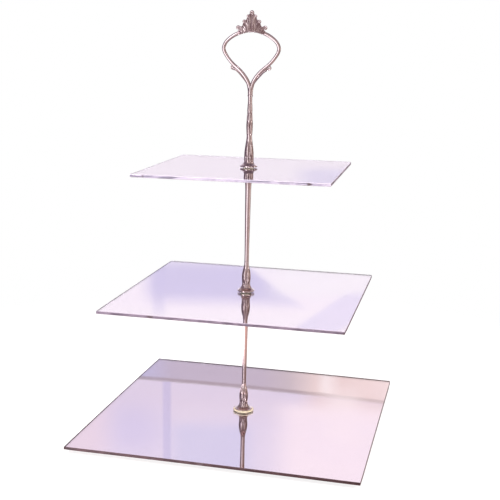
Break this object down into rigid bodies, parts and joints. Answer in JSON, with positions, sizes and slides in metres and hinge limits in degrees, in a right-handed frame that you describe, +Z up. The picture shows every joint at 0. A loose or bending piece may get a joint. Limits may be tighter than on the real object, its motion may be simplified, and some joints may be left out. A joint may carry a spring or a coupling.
{
  "type": "tiered cake stand",
  "caption": "Tiered cake stand: square mirrored plates stacked on a slender silver column, with an onion-shaped loop handle topped by a leaf crown.",
  "frame": {"origin": "on the column's axis, level with the undersides of the feet", "axes": "+Z up along the column, -Y towards the base plate's front edge, +X to the right; the handle's loop lies in the XZ plane, and the upper tiers stand turned a little about Z"},
  "size_m": [0.3, 0.3, 0.4457],
  "materials": {
    "mirror_acrylic": "clear polished sheet, mirrored from behind",
    "silver_plated_casting": "bright silver plate on a casting with leaf relief",
    "zinc_plated_steel": "zinc plated",
    "cream_nylon": "satin",
    "clear_bumper": "clear, slightly cloudy"
  },
  "bodies": {
    "base": {"base_plate": "mirror_acrylic", "foot_front_left": "clear_bumper", "foot_front_right": "clear_bumper", "foot_back_left": "clear_bumper", "foot_back_right": "clear_bumper", "base_under_cushion": "cream_nylon", "base_cushion": "cream_nylon"},
    "column": {"base_bolt": "zinc_plated_steel", "bolt_washer": "zinc_plated_steel", "lower_spacer": "silver_plated_casting", "middle_stud": "zinc_plated_steel", "upper_spacer": "silver_plated_casting", "top_stud": "zinc_plated_steel"},
    "middle_tier": {"middle_plate": "mirror_acrylic", "middle_under_cushion": "cream_nylon", "middle_cushion": "cream_nylon"},
    "top_tier": {"top_plate": "mirror_acrylic", "top_under_cushion": "cream_nylon"},
    "handle_washer": {"top_cushion": "cream_nylon"},
    "handle": {"handle": "silver_plated_casting"}
  },
  "joints": [
    {"name": "column_turn", "type": "hinge", "parent": "base", "child": "column", "pos_m": [0, 0, 0.0109], "axis": [0, 0, 1], "continuous": true},
    {"name": "middle_tier_turn", "type": "hinge", "parent": "column", "child": "middle_tier", "pos_m": [0, 0, 0.1455], "axis": [0, 0, 1], "continuous": true},
    {"name": "top_tier_turn", "type": "hinge", "parent": "column", "child": "top_tier", "pos_m": [0, 0, 0.2817], "axis": [0, 0, 1], "continuous": true},
    {"name": "handle_lift", "type": "slide", "parent": "column", "child": "handle_washer", "axis": [0, 0, 1], "range_m": [0, 0.008]},
    {"name": "handle_turn", "type": "hinge", "parent": "handle_washer", "child": "handle", "pos_m": [0, 0, 0.2833], "axis": [0, 0, 1], "range_deg": [0, 4115]}
  ],
  "couplings": [
    {"joint": "handle_turn", "follows": "handle_lift", "rad_per_m": 8976}
  ]
}
